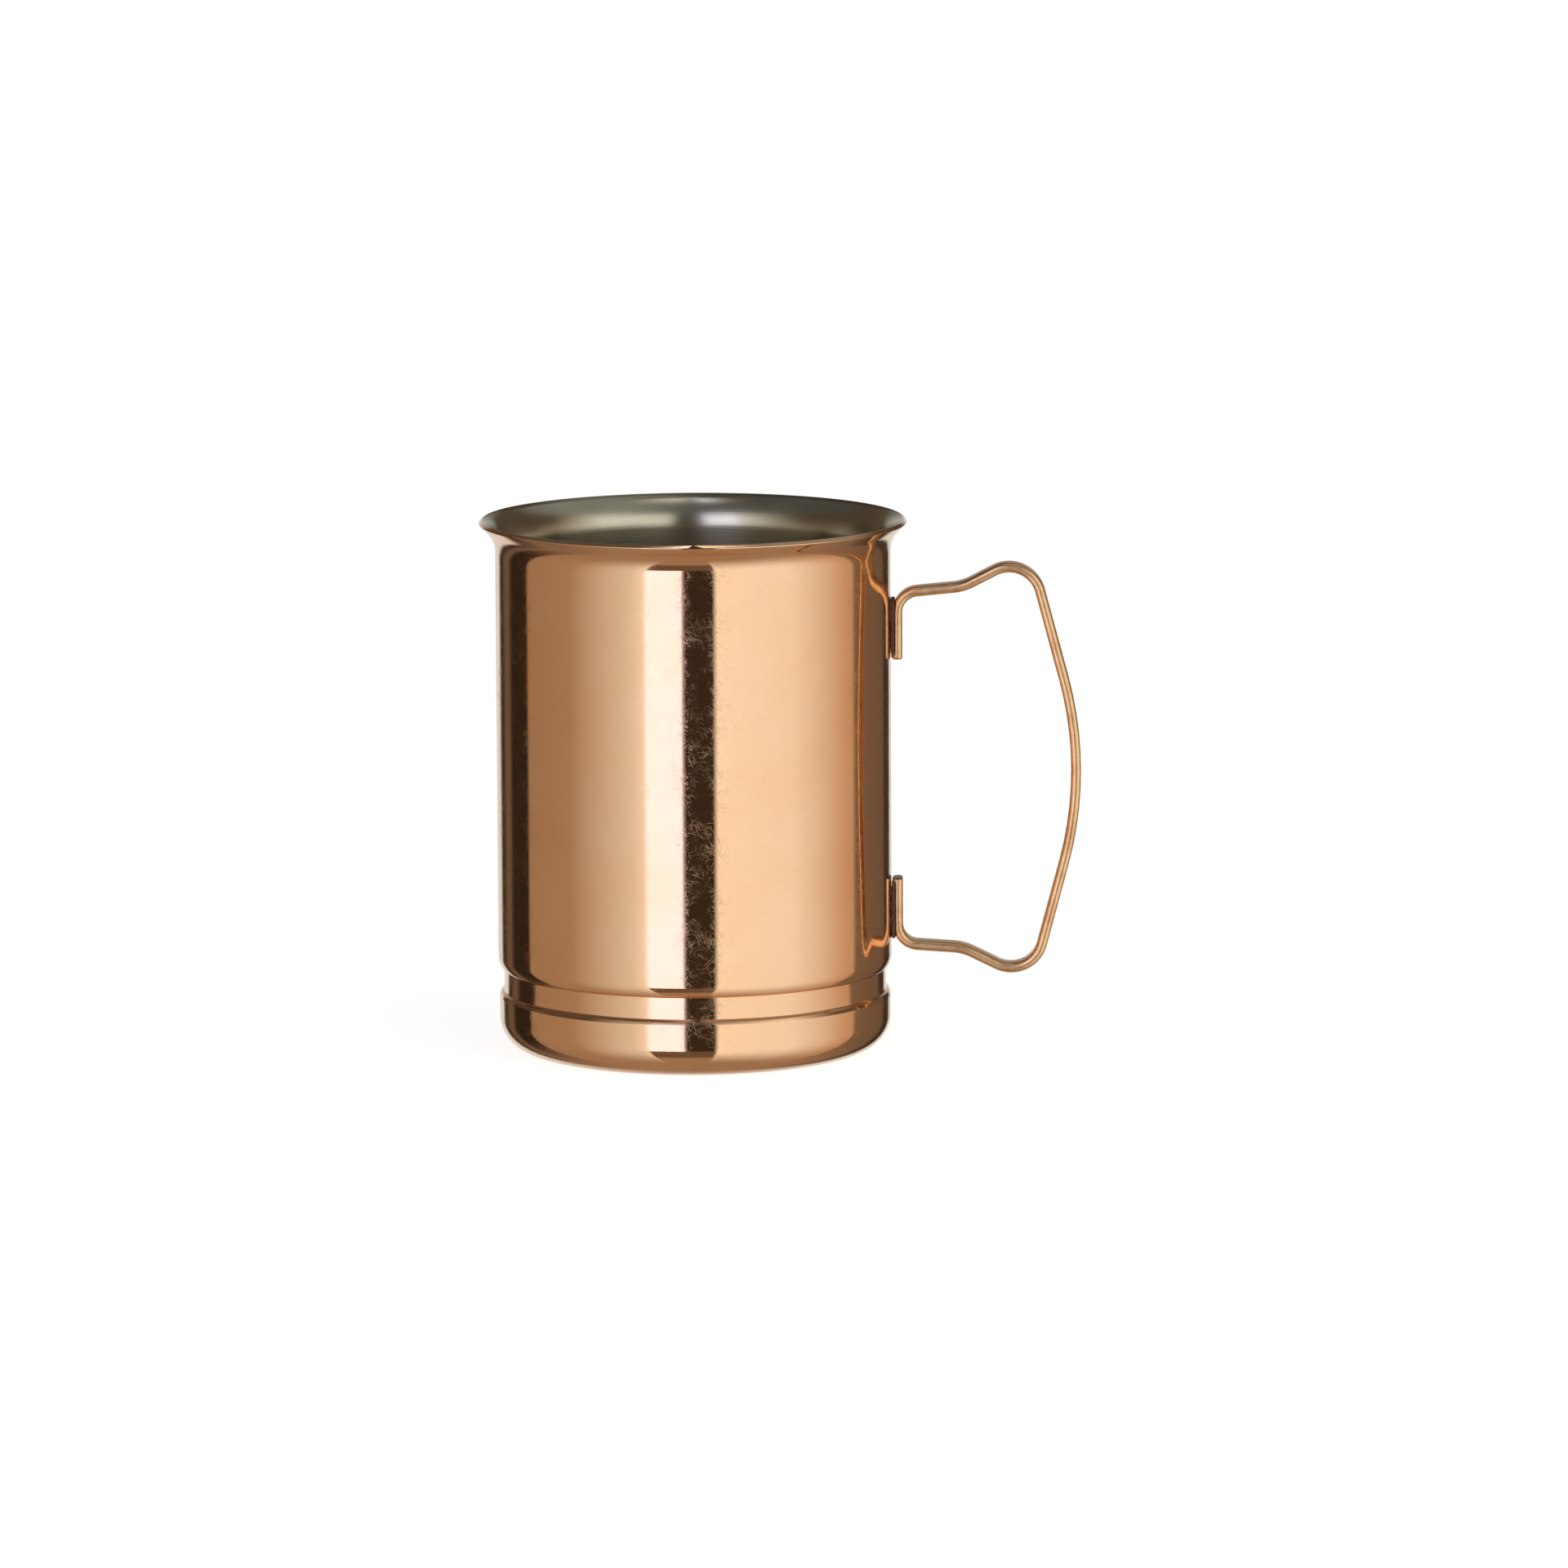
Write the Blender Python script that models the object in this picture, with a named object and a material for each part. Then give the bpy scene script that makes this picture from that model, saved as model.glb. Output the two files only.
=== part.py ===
"""Copper mug: a copper shell with a flared lip and a stepped foot band, a thin steel lining, and a bent strap
handle brazed to the wall. Metres, +Z up, the mug stands on z = 0 with its axis on the origin, handle along +X."""

from math import atan2, ceil, cos, pi, radians, sin, sqrt, tan

import bmesh
import bpy
from mathutils import Vector

MM = 0.001

# Body, outside sizes
HEIGHT = 108.15 * MM
WALL_R = 40.0 * MM
LIP_R = 43.29 * MM
FLARE_ANGLE = radians(45.35)
FLARE_BEND_R = 6.0 * MM
STEP_Z = 18.3 * MM
STEP_BEND_R = 4.6 * MM
LEDGE_R = 39.4 * MM
LEDGE_Z = 16.95 * MM
LEDGE_BEND_R = 0.7 * MM
GROOVE_R = 38.8 * MM
GROOVE_HIGH_Z = 16.6 * MM
GROOVE_HIGH_CORNER_R = 0.2 * MM
GROOVE_LOW_Z = 12.1 * MM
GROOVE_LOW_CORNER_R = 0.4 * MM
BAND_SHOULDER_R = 39.45 * MM
BAND_SHOULDER_Z = 11.75 * MM
BAND_SHOULDER_CORNER_R = 0.3 * MM
FOOT_BAND_R = 39.75 * MM
FOOT_BAND_TOP_Z = 11.1 * MM
FOOT_BAND_BEND_R = 0.5 * MM
FOOT_CORNER_R = 6.7 * MM

# Sheets: the copper is turned in over the lining's edge, and the two together make up the lip, whose rounded
# corners lie LIP_TRIM inside the sharp ones
SHELL_T = 0.4 * MM
LINER_T = 0.3 * MM
GAP = 0.3 * MM
LIP_T = SHELL_T + GAP + LINER_T
LIP_EDGE_R = 0.18 * MM
LIP_TRIM = LIP_EDGE_R * (sqrt(2) - 1)
HEM = 0.3 * MM

# Handle strap, centre line in the plane y = 0
STRAP_WIDTH = 5.0 * MM
STRAP_T = 2.0 * MM
STRAP_EDGE_R = 0.85 * MM
FOOT_X = WALL_R + GAP + STRAP_T / 2
UPPER_END_Z = 79.6 * MM
LOWER_END_Z = 34.8 * MM
UPPER_RUN_Z = 93.0 * MM
LOWER_RUN_Z = 21.2 * MM
SHOULDER_X = 54.6 * MM
UPPER_SHOULDER_Z = 94.3 * MM
LOWER_SHOULDER_Z = 20.3 * MM
UPPER_PEAK_X = 68.1 * MM
UPPER_PEAK_Z = 101.2 * MM
LOWER_PEAK_X = 68.5 * MM
LOWER_PEAK_Z = 13.5 * MM
BACK_X = 80.04 * MM
BACK_Z = 56.7 * MM
FOOT_BEND_R = 4.3 * MM
SHOULDER_BEND_R = 10.0 * MM
PEAK_BEND_R = 6.5 * MM
BACK_BEND_R = 73.0 * MM

# Braze beads: a leg along each edge of a strap foot, joined across the notch above or below it
BRAZE_R = 0.28 * MM
BRAZE_X = WALL_R + 0.5 * MM
BRAZE_Y = STRAP_WIDTH / 2 + 0.42 * MM
BRAZE_CROSS_X = WALL_R + GAP + BRAZE_R + 0.02 * MM
BRAZE_CROSS_Y = 1.5 * MM
BRAZE_LEG_GAP = 1.2 * MM

# Facets
TURN_STEPS = 64
ARC_STEP = 24 * pi / 180
LIP_STEP = 45 * pi / 180
HANDLE_ARC_STEP = 8 * pi / 180
EDGE_POINTS = 3

COPPER = (0.86, 0.45, 0.28, 1.0)
STEEL = (0.62, 0.59, 0.53, 1.0)
BRAZE = (0.16, 0.10, 0.07, 1.0)


def rounded(corners, arc_step):
    """The polyline through these (x, z, radius) corners with each corner turned into an arc of its radius."""
    points = []
    last = len(corners) - 1
    for i, (x, z, radius) in enumerate(corners):
        here = Vector((x, z))
        if radius == 0 or i in (0, last):
            points.append(here)
            continue
        before = (here - Vector(corners[i - 1][:2])).normalized()
        after = (Vector(corners[i + 1][:2]) - here).normalized()
        turn = atan2(before.cross(after), before.dot(after))
        start = here - before * radius * tan(abs(turn) / 2)
        side = Vector((-before.y, before.x)) * (1 if turn > 0 else -1)
        centre = start + side * radius
        count = max(1, ceil(abs(turn) / arc_step))
        for k in range(count + 1):
            a = turn * k / count
            spoke = start - centre
            points.append(centre + Vector((spoke.x * cos(a) - spoke.y * sin(a), spoke.x * sin(a) + spoke.y * cos(a))))
    return points


def inset(corners, distance):
    """The outside corners moved inwards by distance: every side stays parallel, and each radius follows."""
    moved = []
    for i, (x, z, radius) in enumerate(corners):
        here = Vector((x, z))
        sides = []
        if i > 0:
            sides.append((here - Vector(corners[i - 1][:2])).normalized())
        if i < len(corners) - 1:
            sides.append((Vector(corners[i + 1][:2]) - here).normalized())
        normals = [Vector((-side.y, side.x)) for side in sides]
        middle = sum(normals, Vector((0, 0))).normalized()
        spot = here + middle * distance / middle.dot(normals[0])
        convex = len(sides) == 2 and sides[0].cross(sides[1]) > 0
        new_radius = radius - distance if convex else radius + distance
        if radius == 0 or new_radius < 0.3 * MM:
            new_radius = 0
        moved.append((spot.x, spot.y, new_radius))
    return moved


def outside_corners():
    """Corners of the body's outside from the middle of the base up to the lip's outer corner, still sharp."""
    lip_r = LIP_R + LIP_TRIM
    lip_z = HEIGHT + LIP_TRIM - LIP_T * sin(FLARE_ANGLE)
    flare_start_z = lip_z - (lip_r - WALL_R) / tan(FLARE_ANGLE)
    return [
        (0, 0, 0),
        (FOOT_BAND_R, 0, FOOT_CORNER_R),
        (FOOT_BAND_R, FOOT_BAND_TOP_Z, FOOT_BAND_BEND_R),
        (BAND_SHOULDER_R, BAND_SHOULDER_Z, BAND_SHOULDER_CORNER_R),
        (GROOVE_R, GROOVE_LOW_Z, GROOVE_LOW_CORNER_R),
        (GROOVE_R, GROOVE_HIGH_Z, GROOVE_HIGH_CORNER_R),
        (LEDGE_R, LEDGE_Z, LEDGE_BEND_R),
        (WALL_R, STEP_Z, STEP_BEND_R),
        (WALL_R, flare_start_z, FLARE_BEND_R),
        (lip_r, lip_z, 0),
    ]


def new_object(name, mesh, colour, metallic, roughness):
    """An object of this mesh or curve with a Principled material of its own."""
    material = bpy.data.materials.new(name + "_metal")
    material.use_nodes = True
    shader = material.node_tree.nodes["Principled BSDF"]
    shader.inputs["Base Color"].default_value = colour
    shader.inputs["Metallic"].default_value = metallic
    shader.inputs["Roughness"].default_value = roughness
    mesh.materials.append(material)
    obj = bpy.data.objects.new(name, mesh)
    bpy.context.scene.collection.objects.link(obj)
    return obj


def turned(name, profile, colour, roughness):
    """A body of revolution about Z, from a profile of (r, z) points whose ends lie on the axis."""
    mesh = bpy.data.meshes.new(name)
    points = [(p.x, 0, p.y) for p in profile]
    mesh.from_pydata(points, [(i, i + 1) for i in range(len(points) - 1)], [])
    obj = new_object(name, mesh, colour, 1.0, roughness)
    screw = obj.modifiers.new("turn", "SCREW")
    screw.axis = "Z"
    screw.angle = 2 * pi
    screw.steps = TURN_STEPS
    screw.render_steps = TURN_STEPS
    screw.use_merge_vertices = True
    screw.merge_threshold = 0.00001
    screw.use_smooth_shade = True
    return obj


def strap_section():
    """The strap's cross-section as (across, thick) points, with its four edges rounded."""
    half_w = STRAP_WIDTH / 2 - STRAP_EDGE_R
    half_t = STRAP_T / 2 - STRAP_EDGE_R
    section = []
    for quarter in range(4):
        side = (1, -1, -1, 1)[quarter]
        up = (1, 1, -1, -1)[quarter]
        for k in range(EDGE_POINTS):
            a = quarter * pi / 2 + (k / (EDGE_POINTS - 1)) * pi / 2
            section.append((side * half_w + STRAP_EDGE_R * cos(a), up * half_t + STRAP_EDGE_R * sin(a)))
    return section


def swept(name, path, section, colour, roughness):
    """The section carried along a path in the plane y = 0, with flat ends."""
    bm = bmesh.new()
    rings = []
    for i, spot in enumerate(path):
        before = path[max(i - 1, 0)]
        after = path[min(i + 1, len(path) - 1)]
        along = (after - before).normalized()
        normal = Vector((-along.y, along.x))
        ring = []
        for across, thick in section:
            flat = spot + normal * thick
            ring.append(bm.verts.new((flat.x, across, flat.y)))
        rings.append(ring)
    for low, high in zip(rings, rings[1:]):
        for k in range(len(section)):
            m = (k + 1) % len(section)
            bm.faces.new((low[k], low[m], high[m], high[k]))
    bm.faces.new(rings[0])
    bm.faces.new(list(reversed(rings[-1])))
    bmesh.ops.recalc_face_normals(bm, faces=bm.faces)
    mesh = bpy.data.meshes.new(name)
    bm.to_mesh(mesh)
    bm.free()
    for face in mesh.polygons:
        face.use_smooth = len(face.vertices) == 4
    return new_object(name, mesh, colour, 1.0, roughness)


def handle_corners():
    """Corners of the strap's centre line from its upper end, over the back, to its lower end."""
    return [
        (FOOT_X, UPPER_END_Z, 0),
        (FOOT_X, UPPER_RUN_Z, FOOT_BEND_R),
        (SHOULDER_X, UPPER_SHOULDER_Z, SHOULDER_BEND_R),
        (UPPER_PEAK_X, UPPER_PEAK_Z, PEAK_BEND_R),
        (BACK_X, BACK_Z, BACK_BEND_R),
        (LOWER_PEAK_X, LOWER_PEAK_Z, PEAK_BEND_R),
        (SHOULDER_X, LOWER_SHOULDER_Z, SHOULDER_BEND_R),
        (FOOT_X, LOWER_RUN_Z, FOOT_BEND_R),
        (FOOT_X, LOWER_END_Z, 0),
    ]


def bend_centre(run_z, shoulder_z):
    """Centre (x, z) of the strap's bend between a foot and its run."""
    turn = pi / 2 - abs(shoulder_z - run_z) / (SHOULDER_X - FOOT_X)
    away = 1 if run_z < BACK_Z else -1
    return FOOT_X + FOOT_BEND_R, run_z + away * FOOT_BEND_R * tan(turn / 2)


def braze_bead(name, run_z, shoulder_z, end_z, colour):
    """A round bead that runs up one edge of a strap foot, across the notch at the bend and down the other edge."""
    centre_x, centre_z = bend_centre(run_z, shoulder_z)
    outwards = 1 if run_z > end_z else -1
    reach = FOOT_BEND_R + STRAP_T / 2 + GAP + BRAZE_R + 0.02 * MM
    cross_z = centre_z + outwards * sqrt(reach**2 - (centre_x - BRAZE_CROSS_X) ** 2)
    leg_z = end_z + outwards * BRAZE_LEG_GAP
    knee_z = centre_z + outwards * 0.6 * MM
    half = [(BRAZE_X, BRAZE_Y, leg_z), (BRAZE_X, BRAZE_Y, knee_z), (BRAZE_CROSS_X, BRAZE_CROSS_Y, cross_z)]
    spots = half + [(x, -y, z) for x, y, z in reversed(half)]
    curve = bpy.data.curves.new(name, "CURVE")
    curve.dimensions = "3D"
    curve.resolution_u = 4
    curve.bevel_depth = BRAZE_R
    curve.bevel_resolution = 1
    curve.use_fill_caps = True
    spline = curve.splines.new("BEZIER")
    spline.bezier_points.add(len(spots) - 1)
    for point, spot in zip(spline.bezier_points, spots):
        point.co = spot
        point.handle_left_type = "AUTO"
        point.handle_right_type = "AUTO"
    return new_object(name, curve, colour, 1.0, 0.7)


def shell_profile():
    """The shell's inside from the axis up, round the turned-in lip, then the outside down to the axis."""
    outside = outside_corners()
    up_flare = Vector((sin(FLARE_ANGLE), cos(FLARE_ANGLE)))
    through = Vector((-up_flare.y, up_flare.x))
    outer_edge = Vector(outside[-1][:2])
    inner_edge = outer_edge + through * LIP_T
    hem_foot = inner_edge - up_flare * HEM
    flare_below = outer_edge - up_flare * HEM
    lip_corners = [(*hem_foot, 0), (*inner_edge, LIP_EDGE_R), (*outer_edge, LIP_EDGE_R), (*flare_below, 0)]
    inner = rounded(inset(outside, SHELL_T), ARC_STEP)
    inner[-1] = inner[-1] - up_flare * HEM
    lip = rounded(lip_corners, LIP_STEP)[:-1]
    outer = rounded(outside, ARC_STEP)[:-1]
    return inner + lip + outer[::-1]


def liner_profile():
    """The lining's inside from the axis up, its top edge just under the hem, then its back down to the axis."""
    outside = outside_corners()
    inner = rounded(inset(outside, LIP_T), ARC_STEP)
    back = rounded(inset(outside, SHELL_T + GAP), ARC_STEP)
    short = Vector((sin(FLARE_ANGLE), cos(FLARE_ANGLE))) * (HEM + GAP)
    inner[-1] = inner[-1] - short
    back[-1] = back[-1] - short
    return inner + back[::-1]


def main():
    for obj in list(bpy.data.objects):
        bpy.data.objects.remove(obj, do_unlink=True)
    turned("outer_shell", shell_profile(), COPPER, 0.12)
    turned("inner_liner", liner_profile(), STEEL, 0.4)
    swept("handle", rounded(handle_corners(), HANDLE_ARC_STEP), strap_section(), COPPER, 0.25)
    braze_bead("upper_braze", UPPER_RUN_Z, UPPER_SHOULDER_Z, UPPER_END_Z, BRAZE)
    braze_bead("lower_braze", LOWER_RUN_Z, LOWER_SHOULDER_Z, LOWER_END_Z, BRAZE)


main()
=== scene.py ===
"""A polished copper mug with a steel lining and a bent strap handle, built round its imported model.

Laid out as an add-on: one operator for each piece or pair of pieces, one for the stage, and a panel that
lists them.
Sizes are in metres, +Z is up and the handle points along +X."""

from math import atan2, ceil, cos, pi, radians, sin, sqrt, tan

import bpy
from bpy.props import FloatProperty, FloatVectorProperty, IntProperty, PointerProperty
from mathutils import Matrix, Vector, noise


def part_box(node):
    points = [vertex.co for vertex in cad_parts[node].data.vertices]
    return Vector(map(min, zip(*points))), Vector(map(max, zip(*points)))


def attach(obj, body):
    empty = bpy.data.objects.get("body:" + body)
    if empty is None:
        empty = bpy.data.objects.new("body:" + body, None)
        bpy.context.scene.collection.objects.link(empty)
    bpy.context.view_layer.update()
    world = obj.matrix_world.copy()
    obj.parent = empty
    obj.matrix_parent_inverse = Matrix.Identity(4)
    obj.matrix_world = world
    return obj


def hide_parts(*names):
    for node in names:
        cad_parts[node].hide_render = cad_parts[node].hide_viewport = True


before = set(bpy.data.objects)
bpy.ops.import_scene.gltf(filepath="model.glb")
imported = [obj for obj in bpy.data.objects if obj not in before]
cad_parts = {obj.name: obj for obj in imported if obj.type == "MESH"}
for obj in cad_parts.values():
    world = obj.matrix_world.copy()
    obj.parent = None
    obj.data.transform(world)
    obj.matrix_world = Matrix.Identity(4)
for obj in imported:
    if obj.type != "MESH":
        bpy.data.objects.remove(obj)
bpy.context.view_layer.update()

bl_info = {
    "name": "Copper mug",
    "version": (1, 0, 0),
    "blender": (4, 5, 0),
    "location": "View3D > Sidebar > Copper mug",
    "description": "Builds a copper mug with a lining, a strap handle and its braze beads",
    "category": "Add Mesh",
}

MM = 0.001
BODY = "root"
CUP_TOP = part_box("outer_shell")[1]
HANDLE_LOW, HANDLE_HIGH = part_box("handle")

FLARE_ANGLE = radians(45.35)
# The lip's hem, the gap under it, and how much softer than the copper's the lining's bend at the flare is
HEM = 0.20 * MM
HEM_GAP = 0.03 * MM
LINER_EASE = 1.6 * MM
LIP_EDGE = 0.18 * MM
LIP_TRIM = LIP_EDGE * (sqrt(2) - 1)

# The strap's centre line, in the plane y = 0
UPPER_RUN_Z = 93.0 * MM
LOWER_RUN_Z = 21.2 * MM
SHOULDER_X = 54.6 * MM
UPPER_SHOULDER_Z = 94.3 * MM
LOWER_SHOULDER_Z = 20.3 * MM
UPPER_PEAK_X = 68.1 * MM
UPPER_PEAK_Z = 101.2 * MM
LOWER_PEAK_X = 68.5 * MM
LOWER_PEAK_Z = 13.5 * MM
BACK_X = 80.04 * MM
BACK_Z = 56.7 * MM
UPPER_END_Z = 79.6 * MM
LOWER_END_Z = 34.8 * MM
FOOT_BEND = 4.3 * MM
SHOULDER_BEND = 10.0 * MM
PEAK_BEND = 6.5 * MM
BACK_BEND = 73.0 * MM


def length(name, description, default):
    """A property for a size in metres."""
    return FloatProperty(
        name=name, description=description, default=default, min=0.0, unit="LENGTH", precision=5
    )


def colour(name, description, default):
    """A property for a linear colour."""
    return FloatVectorProperty(
        name=name, description=description, default=default, size=3, min=0.0, max=1.0, subtype="COLOR"
    )


def angle(name, description, default):
    """A property for an angle, given here in degrees."""
    return FloatProperty(name=name, description=description, default=radians(default), subtype="ANGLE")


class MugSizes(bpy.types.PropertyGroup):
    """Sizes of the cup, its lining, the strap and the braze."""

    height: length("Height", "From the base to the top of the lip", CUP_TOP.z)
    lip_radius: length("Lip radius", "Outermost radius of the lip", 43.28 * MM)
    wall_radius: length("Wall radius", "Outside of the straight wall", 40.0 * MM)
    flare_bend: length("Flare bend", "Radius of the turn into the flare", 6.0 * MM)
    step_height: length("Step height", "Height of the ledge at the foot of the straight wall", 18.3 * MM)
    step_bend: length("Step bend", "Radius of the turn from the wall into the ledge", 4.6 * MM)
    groove_radius: length("Groove radius", "Outside of the groove above the foot band", 38.8 * MM)
    groove_high: length("Groove top", "Height of the groove's upper edge", 16.6 * MM)
    groove_low: length("Groove bottom", "Height of the groove's lower edge", 12.1 * MM)
    band_radius: length("Foot band radius", "Outside of the foot band", 39.75 * MM)
    band_top: length("Foot band top", "Height of the foot band's shoulder", 11.1 * MM)
    foot_corner: length("Foot corner", "Radius of the turn under the foot", 6.7 * MM)
    shell_sheet: length("Copper sheet", "Thickness of the copper", 0.4 * MM)
    liner_sheet: length("Steel sheet", "Thickness of the lining", 0.3 * MM)
    gap: length("Gap", "Clearance between touching pieces", 0.3 * MM)
    strap_width: length("Strap width", "Width of the handle strap", HANDLE_HIGH.y - HANDLE_LOW.y)
    strap_sheet: length("Strap thickness", "Thickness of the handle strap", 2.0 * MM)
    strap_edge: length("Strap edge", "Radius of the strap's rounded edges", 0.85 * MM)
    braze_bead: length("Braze bead", "Radius of the braze beads", 0.44 * MM)
    turn_steps: IntProperty(
        name="Turn steps", description="Facets round the cup", default=288, min=16, max=1024
    )


class MugFinishes(bpy.types.PropertyGroup):
    """Colours of the metals."""

    copper: colour("Copper", "Polished copper", (0.955, 0.600, 0.365))
    handle_copper: colour("Handle copper", "Satin copper of the strap", (0.98, 0.60, 0.30))
    steel: colour("Steel", "Satin lining", (0.68, 0.61, 0.455))
    braze: colour("Braze", "Dark scaly braze", (0.15, 0.072, 0.04))


class MugStage(bpy.types.PropertyGroup):
    """The studio: how the camera stands and how strong the lights are."""

    distance: length("Camera distance", "Camera to the mug's axis, level", 2000 * MM)
    side: length("Camera side step", "How far the camera stands towards the handle", 61 * MM)
    camera_height: length("Camera height", "Camera above the base", 359.6 * MM)
    tilt: angle("Tilt", "Camera looks down by", 8.690)
    turn: angle("Turn", "Camera looks left by", 1.225)
    roll: angle("Roll", "Camera rolls by", -0.248)
    lens: FloatProperty(name="Lens", description="Focal length on a 36 mm sensor", default=229.0, unit="CAMERA")
    surround: FloatProperty(name="Surround", description="Strength of the light surround", default=1.0, min=0.0)
    floor_glow: FloatProperty(name="Floor glow", description="Light of the lit floor", default=0.80, min=0.0)


class Field:
    """A number that varies over a surface. Arithmetic on it adds Math nodes."""

    def __init__(self, mix, socket):
        self.mix = mix
        self.socket = socket

    def __add__(self, other):
        return self.mix.maths("ADD", self, other)

    __radd__ = __add__

    def __sub__(self, other):
        return self.mix.maths("SUBTRACT", self, other)

    def __rsub__(self, other):
        return self.mix.maths("SUBTRACT", other, self)

    def __mul__(self, other):
        return self.mix.maths("MULTIPLY", self, other)

    __rmul__ = __mul__

    def __truediv__(self, other):
        return self.mix.maths("DIVIDE", self, other)

    def __abs__(self):
        return self.mix.maths("ABSOLUTE", self)


class Nodes:
    """A node tree that is filled from empty."""

    def __init__(self, tree):
        self.tree = tree
        self.tree.nodes.clear()

    def add(self, kind, settings=None, sockets=None, out=0):
        """A node of this kind with its settings made first and its sockets then filled or linked."""
        node = self.tree.nodes.new("ShaderNode" + kind)
        for name, value in (settings or {}).items():
            if name == "stops":
                self.set_stops(node.color_ramp, value)
            else:
                setattr(node, name, value)
        for name, value in (sockets or {}).items():
            self.fill(node.inputs[name], value)
        return Field(self, node.outputs[out] if len(node.outputs) else None)

    def fill(self, socket, value):
        """Links a field to this socket, or sets a plain value on it."""
        if isinstance(value, Field):
            self.tree.links.new(value.socket, socket)
        else:
            socket.default_value = value

    def set_stops(self, ramp, stops):
        """Makes the ramp's stops (position, colour) these ones."""
        while len(ramp.elements) < len(stops):
            ramp.elements.new(0.5)
        for element, (position, shade) in zip(ramp.elements, stops):
            element.position = position
            element.color = (*shade, 1.0)

    def maths(self, operation, *values):
        """A Math node on one or two values."""
        return self.add("Math", {"operation": operation}, dict(enumerate(values)))

    def ramp(self, value, low, high, start=0.0, end=1.0, smooth=False):
        """The value mapped from low..high to start..end and held there."""
        settings = {"clamp": True, "interpolation_type": "SMOOTHSTEP" if smooth else "LINEAR"}
        sockets = {"Value": value, "From Min": low, "From Max": high, "To Min": start, "To Max": end}
        return self.add("MapRange", settings, sockets)

    def blend(self, factor, first, second):
        """A mix of two colours by a factor."""
        settings = {"data_type": "RGBA", "blend_type": "MIX", "clamp_factor": True}
        sockets = {0: factor, 6: self.opaque(first), 7: self.opaque(second)}
        return self.add("Mix", settings, sockets, out=2)

    def opaque(self, shade):
        """A colour with an alpha, or a field as it is."""
        return shade if isinstance(shade, Field) else (*tuple(shade)[:3], 1.0)

    def noise(self, vector, scale, detail=2.0, roughness=0.5, distortion=0.0):
        """Fractal noise from 0 to 1."""
        sockets = {
            "Vector": vector,
            "Scale": scale,
            "Detail": detail,
            "Roughness": roughness,
            "Distortion": distortion,
        }
        return self.add("TexNoise", {}, sockets)

    def place(self, vector, turn=(0.0, 0.0, 0.0), scale=(1.0, 1.0, 1.0), shift=(0.0, 0.0, 0.0)):
        """The vector turned, scaled and shifted."""
        return self.add("Mapping", {}, {"Vector": vector, "Location": shift, "Rotation": turn, "Scale": scale})

    def position(self):
        """The place of the shaded point in the piece."""
        return self.add("TexCoord", {}, {}, out=3)

    def parts(self, vector):
        """The three numbers of a vector."""
        first = self.add("SeparateXYZ", {}, {"Vector": vector})
        return [Field(self, output) for output in first.socket.node.outputs]

    def unrolled(self, radius):
        """The place on a wall of this radius, unrolled flat: metres round it, metres up."""
        x, y, z = self.parts(self.position())
        around = self.maths("ARCTAN2", x, y) * radius
        return self.add("CombineXYZ", {}, {"X": around, "Y": z, "Z": 0.0})

    def scratches(self, vector, angle, fineness, stretch, width, shift):
        """Short thin strokes that run at this angle: 1 on a stroke, 0 off it."""
        turned_flat = self.place(vector, (0.0, 0.0, angle))
        lined = self.place(turned_flat, scale=(fineness, fineness / stretch, 1.0), shift=(shift, shift, 0.0))
        wave = self.noise(lined, 1.0, detail=0.0)
        return self.ramp(wave, 0.72 - width, 0.74)

    def bump(self, height, distance, strength=1.0, under=None):
        """A normal from this height, on top of another normal if one is given."""
        sockets = {"Height": height, "Distance": distance, "Strength": strength}
        if under:
            sockets["Normal"] = under
        return self.add("Bump", {}, sockets)


class Finish(Nodes):
    """A material built up from one Principled shader."""

    def __init__(self, name):
        self.material = bpy.data.materials.new(name)
        self.material.use_nodes = True
        super().__init__(self.material.node_tree)
        surface = self.add("BsdfPrincipled")
        self.shader = surface.socket.node
        self.add("OutputMaterial", {}, {"Surface": surface})

    def look(self, **looks):
        """Fills the shader's sockets, named with _ for a space."""
        for name, value in looks.items():
            title = " ".join(word if word == "IOR" else word.capitalize() for word in name.split("_"))
            self.fill(self.shader.inputs[title], value)


def rounded(corners, arc_step):
    """The polyline through these (x, z, radius) corners with each corner turned into an arc of its radius."""
    points = []
    last = len(corners) - 1
    for i, (x, z, radius) in enumerate(corners):
        here = Vector((x, z))
        if radius == 0 or i in (0, last):
            points.append(here)
            continue
        before = (here - Vector(corners[i - 1][:2])).normalized()
        after = (Vector(corners[i + 1][:2]) - here).normalized()
        turn = atan2(before.cross(after), before.dot(after))
        start = here - before * radius * tan(abs(turn) / 2)
        side = Vector((-before.y, before.x)) * (1 if turn > 0 else -1)
        centre = start + side * radius
        count = max(2, ceil(abs(turn) / arc_step))
        for k in range(count + 1):
            points.append(centre + Matrix.Rotation(turn * k / count, 2) @ (start - centre))
    return points


def inset(corners, distance):
    """The outside corners moved inwards by distance: every side stays parallel, and each radius follows."""
    moved = []
    for i, (x, z, radius) in enumerate(corners):
        here = Vector((x, z))
        sides = []
        if i > 0:
            sides.append((here - Vector(corners[i - 1][:2])).normalized())
        if i < len(corners) - 1:
            sides.append((Vector(corners[i + 1][:2]) - here).normalized())
        normals = [Vector((-side.y, side.x)) for side in sides]
        middle = sum(normals, Vector((0, 0))).normalized()
        spot = here + middle * distance / middle.dot(normals[0])
        convex = len(sides) == 2 and sides[0].cross(sides[1]) > 0
        new_radius = radius - distance if convex else radius + distance
        if radius == 0 or new_radius < 0.1 * MM:
            new_radius = 0
        moved.append((spot.x, spot.y, new_radius))
    return moved


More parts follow.
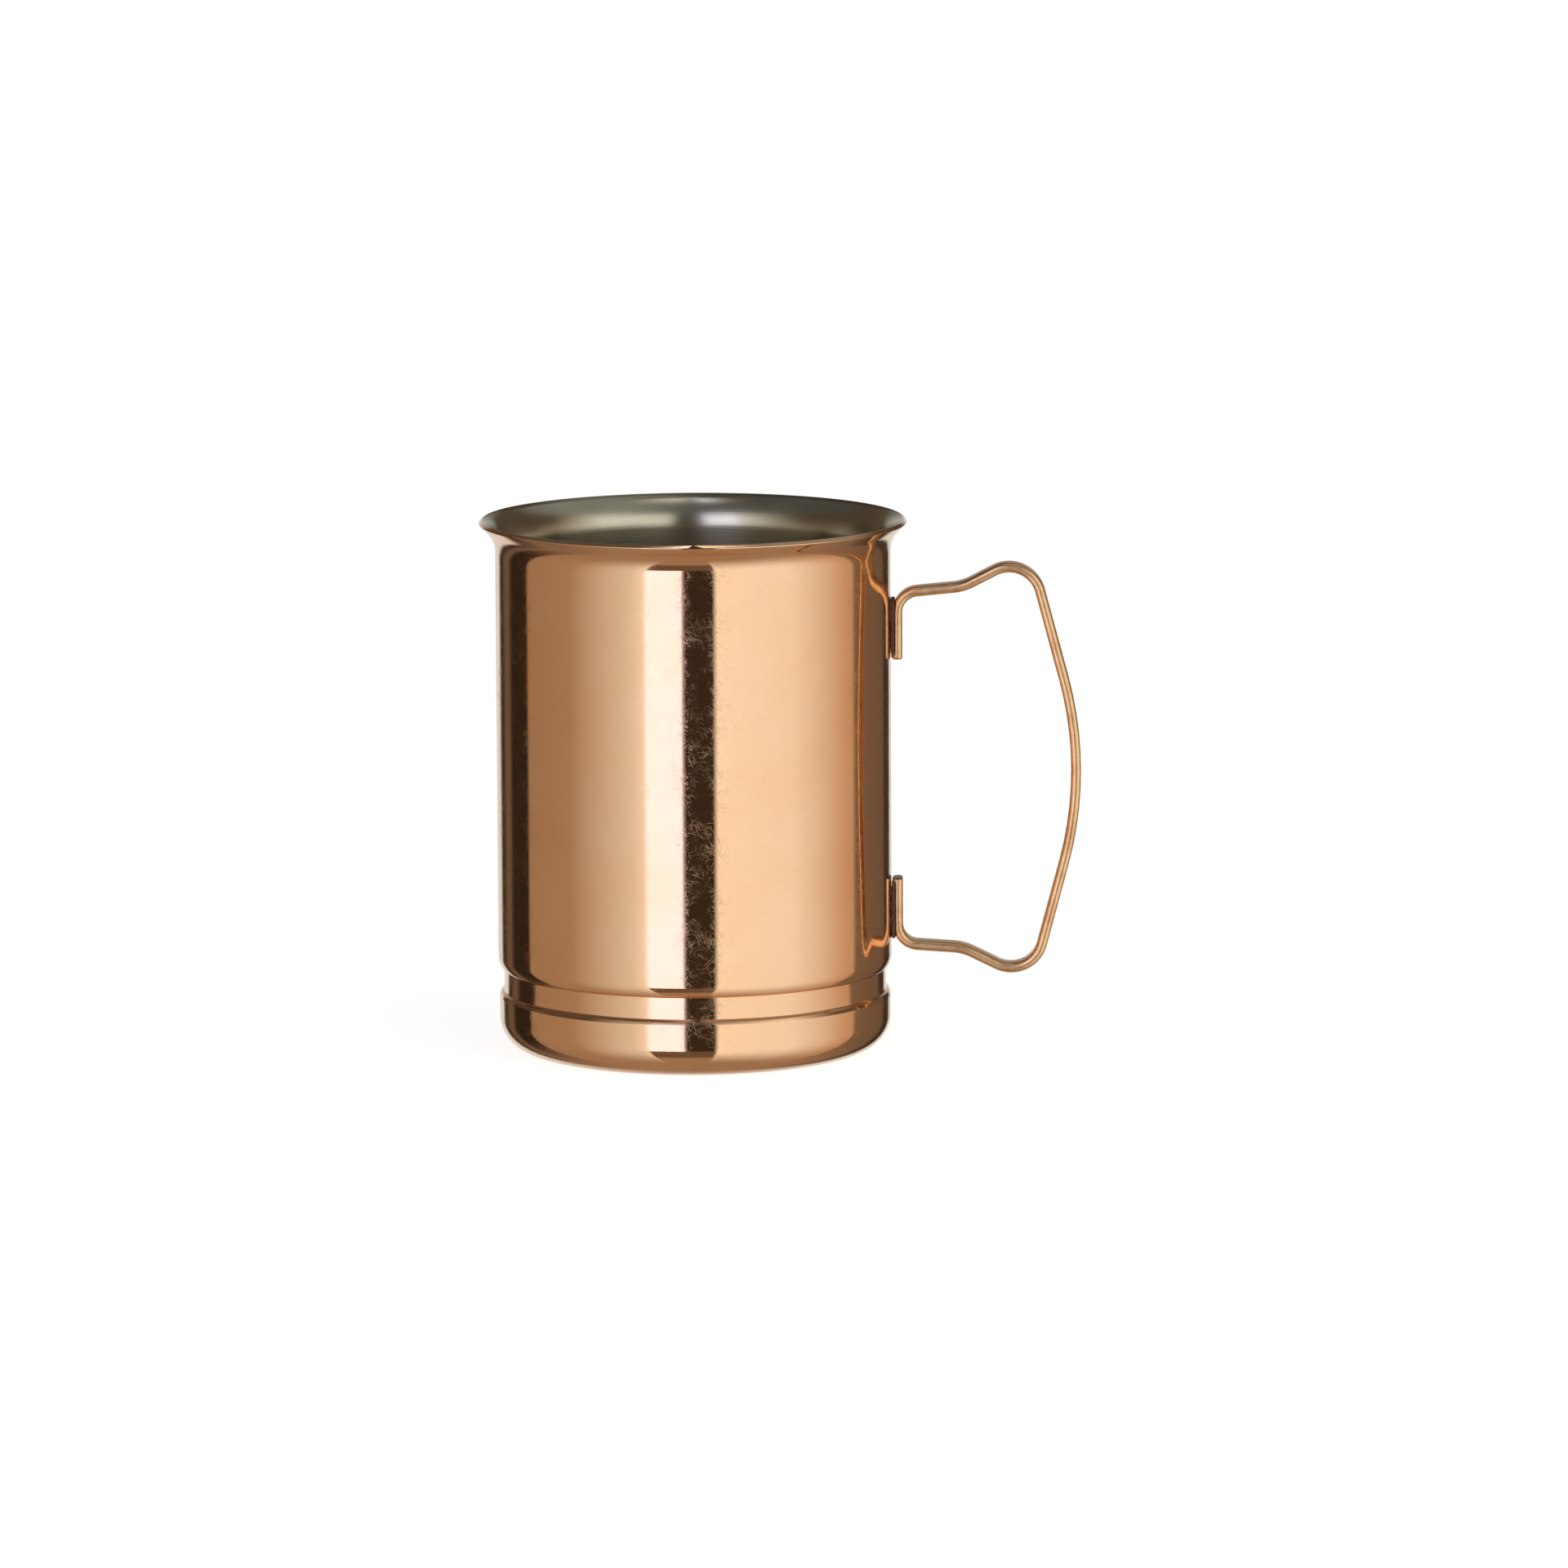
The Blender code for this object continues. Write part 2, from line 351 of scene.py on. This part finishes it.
def spaced(points, longest):
    """The polyline with points added so that no stretch is longer than this."""
    filled = [points[0]]
    for before, after in zip(points, points[1:]):
        count = max(1, ceil((after - before).length / longest))
        filled.extend(before.lerp(after, k / count) for k in range(1, count + 1))
    return filled


def outside_corners(sizes):
    """Corners of the cup's outside from the middle of the base up to the lip's outer corner, still sharp."""
    lip_sheet = sizes.shell_sheet + sizes.gap + sizes.liner_sheet
    lip_r = sizes.lip_radius + LIP_TRIM
    lip_z = sizes.height + LIP_TRIM - lip_sheet * sin(FLARE_ANGLE)
    flare_start = lip_z - (lip_r - sizes.wall_radius) / tan(FLARE_ANGLE)
    return [
        (0, 0, 0),
        (sizes.band_radius, 0, sizes.foot_corner),
        (sizes.band_radius, sizes.band_top, 0.5 * MM),
        (sizes.band_radius - 0.3 * MM, sizes.band_top + 0.65 * MM, 0.3 * MM),
        (sizes.groove_radius, sizes.groove_low, 0.4 * MM),
        (sizes.groove_radius, sizes.groove_high, 0.2 * MM),
        (sizes.wall_radius - 0.6 * MM, sizes.groove_high + 0.35 * MM, 0.7 * MM),
        (sizes.wall_radius, sizes.step_height, sizes.step_bend),
        (sizes.wall_radius, flare_start, sizes.flare_bend),
        (lip_r, lip_z, 0),
    ]


def place_mesh(name, verts, faces, smooth, finish, node):
    """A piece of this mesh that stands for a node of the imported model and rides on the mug."""
    mesh = bpy.data.meshes.new(name)
    mesh.from_pydata(verts, [], faces)
    for face, is_smooth in zip(mesh.polygons, smooth):
        face.use_smooth = is_smooth
    mesh.update()
    mesh.validate()
    mesh.materials.append(finish.material)
    piece = bpy.data.objects.new(name, mesh)
    bpy.context.scene.collection.objects.link(piece)
    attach(piece, BODY)
    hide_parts(node)
    return piece


def turned(profile, steps):
    """Vertices and faces of a profile of (r, z) points, whose ends lie on the axis, turned about Z."""
    verts = [(0, 0, profile[0].y)]
    rings = []
    for point in profile[1:-1]:
        rings.append(len(verts))
        for k in range(steps):
            a = 2 * pi * k / steps
            verts.append((point.x * cos(a), point.x * sin(a), point.y))
    verts.append((0, 0, profile[-1].y))
    faces = []
    for k in range(steps):
        m = (k + 1) % steps
        faces.append((0, rings[0] + k, rings[0] + m))
        for low, high in zip(rings, rings[1:]):
            faces.append((low + m, low + k, high + k, high + m))
        faces.append((rings[-1] + m, rings[-1] + k, len(verts) - 1))
    return verts, faces


def copper_polish(sizes, finishes):
    """Polished copper with a faint tone drift, a slightly uneven surface and fine buffing scratches."""
    finish = Finish("polished_copper")
    flat = finish.unrolled(sizes.wall_radius)
    drift = finish.noise(flat, 45.0, detail=3.0)
    deep = tuple(c * t for c, t in zip(finishes.copper, (0.985, 0.95, 0.90)))
    tone = finish.blend(finish.ramp(drift, 0.35, 0.65, smooth=True), finishes.copper, deep)
    specks = finish.noise(finish.position(), 1100.0, detail=2.0)
    stain = finish.ramp(specks, 0.74, 0.80) * finish.ramp(drift, 0.5, 0.62)
    dull = tuple(c * 0.6 for c in finishes.copper)
    turns = (0.35, 1.15, 1.65, 2.25, 2.85, 0.75)
    lines = sum(
        finish.scratches(flat, turn, 5200.0 + 500.0 * i, 22.0, 0.04, 3.7 * i) for i, turn in enumerate(turns)
    )
    buffed = finish.ramp(finish.noise(flat, 160.0, detail=2.0), 0.38, 0.60, 0.3, 1.0)
    marks = finish.maths("MINIMUM", lines * buffed, 1.0)
    ripple = finish.noise(flat, 1500.0, detail=2.0)
    swell = finish.noise(flat, 55.0, detail=1.0)
    finish.look(
        base_color=finish.blend(stain * 0.6, tone, dull),
        metallic=1.0,
        roughness=0.006 + marks * 0.22,
        normal=finish.bump(ripple, 0.00001, 0.13, finish.bump(swell, 0.0004, 0.005)),
    )
    return finish


def steel_satin(sizes, finishes):
    """Satin steel with turning marks that run round the cup."""
    finish = Finish("satin_steel")
    flat = finish.unrolled(sizes.wall_radius)
    rings = finish.noise(finish.place(flat, scale=(0.02, 1.0, 1.0)), 2600.0, detail=3.0, roughness=0.6)
    cloud = finish.noise(finish.position(), 55.0, detail=3.0)
    grain = finish.noise(finish.position(), 2200.0, detail=2.0)
    dim = tuple(c * 0.82 for c in finishes.steel)
    finish.look(
        base_color=finish.blend(finish.ramp(cloud, 0.35, 0.7), finishes.steel, dim),
        metallic=1.0,
        roughness=0.17 + rings * 0.08 + grain * 0.05,
        anisotropic=0.6,
        anisotropic_rotation=0.25,
        normal=finish.bump(rings, 0.00003, 0.42),
    )
    return finish


def copper_satin(finishes):
    """Satin copper with a fine grain that glitters at its edges, and painted shade in the braze colour on the
    strap's end faces at the feet.
    """
    finish = Finish("handle_copper")
    place = finish.position()
    x, _, z = finish.parts(place)
    grain = finish.noise(place, 2600.0, detail=4.0, roughness=0.7)
    cloud = finish.noise(place, 260.0, detail=4.0, roughness=0.6)
    deep = tuple(c * t for c, t in zip(finishes.handle_copper, (0.86, 0.78, 0.70)))
    tone = finish.blend(finish.ramp(cloud, 0.42, 0.66, smooth=True), finishes.handle_copper, deep)
    # Painted shade: the strap's end faces at the two feet are darkened towards the braze colour, standing in
    # for the dark they reflect.
    from_end = finish.maths("MINIMUM", abs(z - LOWER_END_Z), abs(z - UPPER_END_Z))
    end_zone = finish.ramp(from_end, 0.1 * MM, 0.3 * MM, 1.0, 0.0) * finish.ramp(x, 50.0 * MM, 51.0 * MM, 1.0, 0.0)
    finish.look(
        base_color=finish.blend(end_zone, tone, finishes.braze),
        metallic=1.0,
        roughness=0.26 + finish.ramp(grain, 0.3, 0.7) * 0.08,
        normal=finish.bump(grain, 0.00003, 0.24),
    )
    return finish


def braze_scale(finishes):
    """Dark, scaly braze metal with a few brighter grains."""
    finish = Finish("braze_metal")
    grain = finish.noise(finish.position(), 2400.0, detail=4.0, roughness=0.7)
    bright = tuple(min(1.0, c * 4.0) for c in finishes.braze)
    finish.look(
        base_color=finish.blend(finish.ramp(grain, 0.58, 0.76), finishes.braze, bright),
        metallic=0.6,
        roughness=0.55 + grain * 0.3,
        normal=finish.bump(grain, 0.00025, 0.8),
    )
    return finish


def strap_section(sizes, shrink=0.0):
    """The strap's cross-section as (across, thick) points, with its four edges rounded."""
    edge = sizes.strap_edge - shrink
    half_w = sizes.strap_width / 2 - sizes.strap_edge
    half_t = sizes.strap_sheet / 2 - sizes.strap_edge
    edge_points = 9
    section = []
    for quarter in range(4):
        side = (1, -1, -1, 1)[quarter]
        up = (1, 1, -1, -1)[quarter]
        for k in range(edge_points):
            a = (quarter + k / (edge_points - 1)) * pi / 2
            section.append((side * half_w + edge * cos(a), up * half_t + edge * sin(a)))
    return section


def foot_x(sizes):
    """How far out the centre of the strap's feet lies."""
    return sizes.wall_radius + sizes.gap + sizes.strap_sheet / 2


def handle_corners(sizes):
    """Corners of the strap's centre line from its upper end, over the back, to its lower end."""
    return [
        (foot_x(sizes), UPPER_END_Z, 0),
        (foot_x(sizes), UPPER_RUN_Z, FOOT_BEND),
        (SHOULDER_X, UPPER_SHOULDER_Z, SHOULDER_BEND),
        (UPPER_PEAK_X, UPPER_PEAK_Z, PEAK_BEND),
        (BACK_X, BACK_Z, BACK_BEND),
        (LOWER_PEAK_X, LOWER_PEAK_Z, PEAK_BEND),
        (SHOULDER_X, LOWER_SHOULDER_Z, SHOULDER_BEND),
        (foot_x(sizes), LOWER_RUN_Z, FOOT_BEND),
        (foot_x(sizes), LOWER_END_Z, 0),
    ]


def swept(path, sections):
    """Vertices and faces of a bar along a path in the plane y = 0, one section per point, with flat ends."""
    verts = []
    count = len(sections[0])
    for i, spot in enumerate(path):
        before = path[max(i - 1, 0)]
        after = path[min(i + 1, len(path) - 1)]
        along = (after - before).normalized()
        normal = Vector((-along.y, along.x))
        for across, thick in sections[i]:
            flat = spot + normal * thick
            verts.append((flat.x, across, flat.y))
    faces = [tuple(range(count))]
    for i in range(len(path) - 1):
        for k in range(count):
            m = (k + 1) % count
            faces.append((i * count + m, i * count + k, (i + 1) * count + k, (i + 1) * count + m))
    top = (len(path) - 1) * count
    faces.append(tuple(top + k for k in reversed(range(count))))
    return verts, faces


def braze_path(sizes, run_z, shoulder_z, end_z):
    """The bead's course: up one edge of the strap's foot, across the notch and down the other edge."""
    out = 1 if run_z > end_z else -1
    turn = pi / 2 - abs(shoulder_z - run_z) / (SHOULDER_X - foot_x(sizes))
    centre_x = foot_x(sizes) + FOOT_BEND
    centre_z = run_z - out * FOOT_BEND * tan(turn / 2)
    clear = 0.02 * MM
    leg_x = sizes.wall_radius + 0.34 * MM
    leg_y = sizes.strap_width / 2 + 0.36 * MM
    cross_x = sizes.wall_radius + sizes.braze_bead - clear
    cross_y = 1.5 * MM
    reach = FOOT_BEND + sizes.strap_sheet / 2 + sizes.braze_bead - clear
    cross_z = centre_z + out * sqrt(reach**2 - (centre_x - cross_x) ** 2)
    leg_z = end_z + out * 0.35 * MM
    knee_z = centre_z + out * 0.6 * MM
    half = [(leg_x, leg_y, leg_z), (leg_x, leg_y, knee_z), (cross_x, cross_y, cross_z)]
    spots = [Vector(spot) for spot in half + [(x, -y, z) for x, y, z in reversed(half)]]
    course = []
    per_spot = 40
    for i in range(len(spots) - 1):
        before = spots[max(i - 1, 0)]
        after = spots[min(i + 2, len(spots) - 1)]
        for k in range(per_spot):
            course.append(smooth_between(before, spots[i], spots[i + 1], after, k / per_spot))
    course.append(spots[-1])
    return course


def smooth_between(a, b, c, d, t):
    """A point of the smooth curve from b to c, with a and d as the neighbours."""
    return 0.5 * (2 * b + (c - a) * t + (2 * a - 5 * b + 4 * c - d) * t * t + (3 * b - a - 3 * c + d) * t**3)


def bead(course, radius, lumps, lump_scale=1500, sides=12):
    """Vertices and faces of a lumpy round bead along a course, tapered at both ends."""
    verts = []
    taper_points = 8
    for i, spot in enumerate(course):
        before = course[max(i - 1, 0)]
        after = course[min(i + 1, len(course) - 1)]
        along = (after - before).normalized()
        first = along.cross(Vector((1, 0, 0)))
        if first.length < 0.1:
            first = along.cross(Vector((0, 0, 1)))
        first.normalize()
        second = along.cross(first)
        near_end = min(i, len(course) - 1 - i) / taper_points
        taper = sqrt(min(1.0, max(0.02, near_end)))
        for k in range(sides):
            a = 2 * pi * k / sides
            ray = first * cos(a) + second * sin(a)
            swell = noise.noise((spot + ray * radius) * lump_scale) + 0.5 * noise.noise(spot * lump_scale * 3)
            verts.append(spot + ray * radius * taper * (1.0 - lumps * min(1.0, max(0.0, 0.5 + swell))))
    faces = [tuple(reversed(range(sides)))]
    for i in range(len(course) - 1):
        for k in range(sides):
            m = (k + 1) % sides
            faces.append((i * sides + k, i * sides + m, (i + 1) * sides + m, (i + 1) * sides + k))
    top = (len(course) - 1) * sides
    faces.append(tuple(top + k for k in range(sides)))
    return verts, faces


class MUG_OT_shell(bpy.types.Operator):
    """Add the polished copper cup"""

    bl_idname = "mug.shell"
    bl_label = "Copper cup"

    def execute(self, context):
        sizes = context.scene.mug_sizes
        outside = outside_corners(sizes)
        arc_step = radians(4)
        up_flare = Vector((sin(FLARE_ANGLE), cos(FLARE_ANGLE)))
        through = Vector((-up_flare.y, up_flare.x))
        outer_edge = Vector(outside[-1][:2])
        inner_edge = outer_edge + through * (sizes.shell_sheet + sizes.gap + sizes.liner_sheet)
        hem_foot = inner_edge - up_flare * HEM
        below = outer_edge - up_flare * sizes.shell_sheet
        lip_corners = [(*hem_foot, 0), (*inner_edge, LIP_EDGE), (*outer_edge, LIP_EDGE), (*below, 0)]
        inner = rounded(inset(outside, sizes.shell_sheet), arc_step)
        inner[-1] = inner[-1] - up_flare * HEM
        lip = rounded(lip_corners, radians(15))[:-1]
        outer = rounded(outside, arc_step)[:-1]
        profile = spaced(inner + lip + outer[::-1], 4 * MM)
        verts, faces = turned(profile, sizes.turn_steps)
        finish = copper_polish(sizes, context.scene.mug_finishes)
        place_mesh("copper_cup", verts, faces, [True] * len(faces), finish, "outer_shell")
        return {"FINISHED"}


class MUG_OT_liner(bpy.types.Operator):
    """Add the steel lining inside the cup"""

    bl_idname = "mug.liner"
    bl_label = "Steel lining"

    def execute(self, context):
        sizes = context.scene.mug_sizes
        outside = outside_corners(sizes)
        arc_step = radians(4)
        behind = sizes.shell_sheet + sizes.gap
        short = Vector((sin(FLARE_ANGLE), cos(FLARE_ANGLE))) * (HEM + HEM_GAP)
        eased = outside[:-2] + [(*outside[-2][:2], sizes.flare_bend + LINER_EASE), outside[-1]]
        inner = rounded(inset(eased, behind + sizes.liner_sheet), arc_step)
        back = rounded(inset(outside, behind), arc_step)
        inner[-1] = inner[-1] - short
        back[-1] = back[-1] - short
        profile = spaced(inner + back[::-1], 4 * MM)
        verts, faces = turned(profile, sizes.turn_steps)
        finish = steel_satin(sizes, context.scene.mug_finishes)
        place_mesh("steel_lining", verts, faces, [True] * len(faces), finish, "inner_liner")
        return {"FINISHED"}


class MUG_OT_handle(bpy.types.Operator):
    """Add the bent strap handle"""

    bl_idname = "mug.handle"
    bl_label = "Strap handle"

    def execute(self, context):
        sizes = context.scene.mug_sizes
        path = spaced(rounded(handle_corners(sizes), radians(3)), 1.5 * MM)
        end_round = 0.35 * MM
        inward = (path[1] - path[0]).normalized()
        outward = (path[-2] - path[-1]).normalized()
        count = 5
        turns = [pi / 2 * k / count for k in range(count)]
        ends = [(end_round * (1 - cos(turn)), end_round * (1 - sin(turn))) for turn in turns]
        head = [path[0] + inward * depth for depth, _ in ends]
        tail = [path[-1] + outward * depth for depth, _ in reversed(ends)]
        shrinks = [shrink for _, shrink in ends]
        first = path[0] + inward * end_round
        last = path[-1] + outward * end_round
        course = head + [first] + path[1:-1] + [last] + tail
        shrink_along = shrinks + [0.0] * len(path) + shrinks[::-1]
        sections = [strap_section(sizes, shrink) for shrink in shrink_along]
        verts, faces = swept(course, sections)
        smooth = [len(face) == 4 for face in faces]
        finish = copper_satin(context.scene.mug_finishes)
        place_mesh("strap_handle", verts, faces, smooth, finish, "handle")
        return {"FINISHED"}


class MUG_OT_braze(bpy.types.Operator):
    """Add the braze beads round the two feet of the handle"""

    bl_idname = "mug.braze"
    bl_label = "Braze beads"

    def execute(self, context):
        sizes = context.scene.mug_sizes
        finish = braze_scale(context.scene.mug_finishes)
        upper = braze_path(sizes, UPPER_RUN_Z, UPPER_SHOULDER_Z, UPPER_END_Z)
        lower = braze_path(sizes, LOWER_RUN_Z, LOWER_SHOULDER_Z, LOWER_END_Z)
        for name, node, course in (("upper_bead", "upper_braze", upper), ("lower_bead", "lower_braze", lower)):
            verts, faces = bead(course, sizes.braze_bead, 0.4)
            place_mesh(name, verts, faces, [True] * len(faces), finish, node)
        return {"FINISHED"}


def stage_mesh(name, verts, faces, material):
    """A mesh that belongs to the studio and not to the mug."""
    mesh = bpy.data.meshes.new(name)
    mesh.from_pydata(verts, [], faces)
    mesh.materials.append(material)
    for face in mesh.polygons:
        face.use_smooth = True
    thing = bpy.data.objects.new(name, mesh)
    bpy.context.scene.collection.objects.link(thing)
    return thing


WHITE = (0.95, 1.0, 1.0)
COOL = (0.9, 0.95, 1.3)
WARM = (1.0, 0.75, 0.55)

# The studio as the mug sees it, in degrees from the front towards the handle. Each entry has where it
# starts and ends, its tint and its brightness at the two ends. Light runs evenly from one to the next.
STUDIO = (
    (-180, -155, WHITE, 0.8, 0.8),  # backdrop
    (-150, -145, WARM, 0.05, 0.05),  # flag behind the left panel
    (-140, -135, WARM, 0.15, 0.15),  # slit between the left flags
    (-130, -112, WARM, 0.03, 0.03),  # flag beside the left panel
    (-110, -75, WARM, 0.35, 0.4),  # left panel's dim end
    (-35, -27, WHITE, 0.8, 1.0),  # left panel's bright end
    (-26, -5, COOL, 1.6, 1.6),  # key panel
    (-4, 13, WARM, 0.04, 0.04),  # gap where the camera stands
    (15, 60, WHITE, 1.1, 1.0),  # right panel's bright end
    (100, 107, WARM, 0.6, 0.55),  # right panel's dim end
    (110, 145, WARM, 0.2, 0.15),  # brown flag behind the handle
    (150, 160, WARM, 0.05, 0.05),  # flag behind the right panel
    (165, 180, WHITE, 0.8, 0.8),  # backdrop
)
UNDER = (WARM, 0.35)
TABLE_EDGE = (WARM, 0.15)
CEILING = (WHITE, 0.1)
CEILING_RIGHT = (WHITE, 0.3)
HIGH_SIDES = (WARM, 0.1)
PEAK = 2.2
SURROUND_RADIUS = 3.0


def lit(tint, level):
    """This tint at this brightness, as a share of the brightest light that the surround can give."""
    return tuple(c * level / PEAK for c in tint)


def surround_light(strength):
    """Light that changes round the mug in panels, with a dark table edge in front and a plain ceiling."""
    finish = Finish("studio_surround")
    x, y, z = finish.parts(finish.position())
    around = finish.maths("ARCTAN2", x, y * -1.0) * (180 / pi)
    rise = finish.maths("ARCSINE", z / SURROUND_RADIUS) * (180 / pi)
    stops = []
    for start, end, tint, first, last in STUDIO:
        stops += [((start + 180) / 360, lit(tint, first)), ((end + 180) / 360, lit(tint, last))]
    panels = finish.add("ValToRGB", {"stops": stops}, {"Fac": around / 360 + 0.5})
    lights = (UNDER, TABLE_EDGE, CEILING, CEILING_RIGHT, HIGH_SIDES)
    under, edge, ceiling, ceiling_right, high = (lit(*light) for light in lights)
    strip = finish.ramp(around, -27.0, -26.0) * finish.ramp(around, 13.0, 15.0, 1.0, 0.0)
    fade = finish.ramp(rise, -72.0, -22.0, 1.0, 0.0, smooth=True)
    end_zone = finish.ramp(rise, -25.5, -23.5, 1.0, 0.0)
    low = finish.blend(finish.ramp(rise, -50.0, -44.0), under, edge)
    sides = finish.blend(fade, panels, under)
    front = finish.blend(end_zone, panels, low)
    off_side = finish.ramp(abs(around - 15.0), 50.0, 85.0) * finish.ramp(rise, 2.0, 22.0)
    walls = finish.blend(off_side, finish.blend(strip, sides, front), high)
    top = finish.blend(finish.ramp(around, 0.0, 55.0), ceiling, ceiling_right)
    above = finish.ramp(rise, 32.0, 42.0) * finish.ramp(rise, 68.0, 76.0, 1.0, 0.0)
    finish.look(
        base_color=(0.0, 0.0, 0.0, 1.0),
        roughness=1.0,
        specular_IOR_level=0.0,
        emission_color=finish.blend(above, walls, top),
        emission_strength=strength * PEAK,
    )
    return finish.material


class MUG_OT_stage(bpy.types.Operator):
    """Add the floor, the light surround and the camera"""

    bl_idname = "mug.stage"
    bl_label = "Studio"

    def execute(self, context):
        stage = context.scene.mug_stage
        self.add_floor(stage)
        self.add_surround(stage)
        self.add_world(context.scene)
        self.add_camera(context.scene, stage)
        context.scene.view_settings.view_transform = "Standard"
        return {"FINISHED"}

    def add_floor(self, stage):
        finish = Finish("pale_floor")
        finish.look(
            base_color=(0.9, 0.9, 0.9, 1.0),
            roughness=0.9,
            emission_color=(1.0, 1.0, 1.0, 1.0),
            emission_strength=stage.floor_glow,
        )
        half = 12.0
        level = -0.2 * MM
        corners = [(-half, -half, level), (half, -half, level), (half, half, level), (-half, half, level)]
        floor = stage_mesh("floor", corners, [(0, 1, 2, 3)], finish.material)
        floor.visible_glossy = False

    def add_surround(self, stage):
        columns, rows = 96, 48
        verts = []
        for j in range(rows + 1):
            rise = pi * (j / rows - 0.5)
            for i in range(columns):
                a = 2 * pi * i / columns
                spot = Vector((cos(rise) * cos(a), cos(rise) * sin(a), sin(rise)))
                verts.append(spot * SURROUND_RADIUS)
        faces = []
        for j in range(rows):
            for i in range(columns):
                m = (i + 1) % columns
                faces.append((j * columns + i, (j + 1) * columns + i, (j + 1) * columns + m, j * columns + m))
        surround = stage_mesh("surround", verts, faces, surround_light(stage.surround))
        surround.visible_camera = False
        surround.visible_shadow = False

    def add_world(self, scene):
        world = bpy.data.worlds.new("studio")
        scene.world = world
        world.use_nodes = True
        nodes = Nodes(world.node_tree)
        back = nodes.add("Background", {}, {"Color": (1.0, 1.0, 1.0, 1.0)})
        nodes.add("OutputWorld", {}, {"Surface": back})

    def add_camera(self, scene, stage):
        data = bpy.data.cameras.new("camera")
        data.lens = stage.lens
        data.sensor_width = 36.0
        data.clip_start = 0.1
        data.clip_end = 40.0
        camera = bpy.data.objects.new("camera", data)
        scene.collection.objects.link(camera)
        turn = Matrix.Rotation(stage.turn, 4, "Z")
        tilt = Matrix.Rotation(pi / 2 - stage.tilt, 4, "X")
        roll = Matrix.Rotation(stage.roll, 4, "Z")
        place = Matrix.Translation((stage.side, -stage.distance, stage.camera_height))
        camera.matrix_world = place @ turn @ tilt @ roll
        scene.camera = camera


class MUG_PT_panel(bpy.types.Panel):
    """Lists the mug's pieces and its studio"""

    bl_idname = "MUG_PT_panel"
    bl_label = "Copper mug"
    bl_space_type = "VIEW_3D"
    bl_region_type = "UI"
    bl_category = "Copper mug"

    def draw(self, context):
        for operator in OPERATORS:
            self.layout.operator(operator.bl_idname)


GROUPS = (("mug_sizes", MugSizes), ("mug_finishes", MugFinishes), ("mug_stage", MugStage))
OPERATORS = (MUG_OT_shell, MUG_OT_liner, MUG_OT_handle, MUG_OT_braze, MUG_OT_stage)


def register():
    for name, group in GROUPS:
        bpy.utils.register_class(group)
        setattr(bpy.types.Scene, name, PointerProperty(type=group))
    for operator in OPERATORS:
        bpy.utils.register_class(operator)
    bpy.utils.register_class(MUG_PT_panel)


def unregister():
    bpy.utils.unregister_class(MUG_PT_panel)
    for operator in reversed(OPERATORS):
        bpy.utils.unregister_class(operator)
    for name, group in reversed(GROUPS):
        delattr(bpy.types.Scene, name)
        bpy.utils.unregister_class(group)


def main():
    register()
    bpy.ops.mug.shell()
    bpy.ops.mug.liner()
    bpy.ops.mug.handle()
    bpy.ops.mug.braze()
    bpy.ops.mug.stage()
    bpy.context.view_layer.update()


if __name__ == "__main__":
    main()
